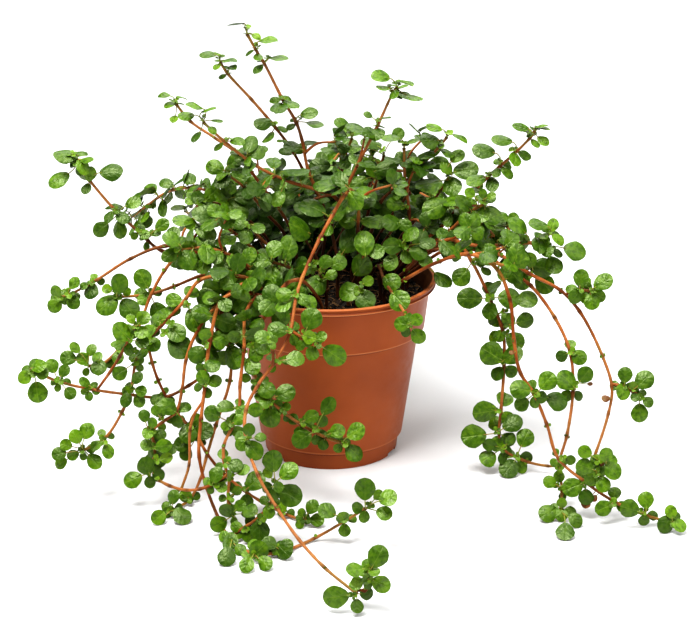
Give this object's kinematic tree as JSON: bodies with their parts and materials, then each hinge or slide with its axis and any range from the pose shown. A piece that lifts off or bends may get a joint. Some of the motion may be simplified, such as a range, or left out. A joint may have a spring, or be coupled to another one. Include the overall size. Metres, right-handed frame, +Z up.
{
  "type": "potted pilea plant",
  "caption": "Trailing pilea with small round scalloped leaves on thin reddish stems, spilling over a plain terracotta-coloured plastic nursery pot with soil",
  "frame": {"origin": "on the pot's axis, on the surface that the pot stands on", "axes": "+X is the plant's right and -Y its front for a viewer who stands before it, +Z is up"},
  "size_m": [0.3409, 0.3842, 0.2414],
  "materials": {
    "pot_plastic": "satin",
    "soil": "matte",
    "leaf": "satin",
    "stem": "satin"
  },
  "bodies": {
    "root": {"pot": "pot_plastic", "shoot_back_01": "leaf", "shoot_back_02": "leaf", "shoot_back_03": "leaf", "shoot_back_04": "leaf", "shoot_back_05": "leaf", "shoot_back_06": "leaf", "shoot_back_07": "leaf", "shoot_back_08": "leaf", "shoot_back_09": "leaf", "shoot_back_10": "leaf", "shoot_crown_01": "leaf", "shoot_crown_02": "leaf", "shoot_crown_03": "leaf", "shoot_crown_04": "leaf", "shoot_crown_05": "leaf", "shoot_crown_06": "leaf", "shoot_crown_07": "leaf", "shoot_crown_08": "leaf", "shoot_crown_09": "leaf", "shoot_crown_10": "leaf", "shoot_crown_11": "leaf", "shoot_crown_12": "leaf", "shoot_crown_13": "leaf", "shoot_crown_14": "leaf", "shoot_crown_15": "leaf", "shoot_crown_16": "leaf", "shoot_crown_17": "leaf", "shoot_crown_18": "leaf", "shoot_crown_19": "leaf", "shoot_front_01": "leaf", "shoot_front_02": "leaf", "shoot_front_03": "leaf", "shoot_front_04": "leaf", "shoot_front_05": "leaf", "shoot_front_06": "leaf", "shoot_left_01": "leaf", "shoot_left_02": "leaf", "shoot_left_03": "leaf", "shoot_left_04": "leaf", "shoot_left_05": "leaf", "shoot_left_06": "leaf", "shoot_left_07": "leaf", "shoot_right_01": "leaf", "shoot_right_02": "leaf", "shoot_right_03": "leaf", "shoot_right_04": "leaf", "shoot_right_05": "leaf", "shoot_right_06": "leaf", "shoot_top_01": "leaf", "shoot_top_02": "leaf", "shoot_top_03": "leaf", "shoot_top_04": "leaf", "shoot_top_05": "leaf", "shoot_top_06": "leaf", "shoot_top_07": "leaf", "shoot_top_08": "leaf", "soil": "soil"}
  },
  "joints": []
}
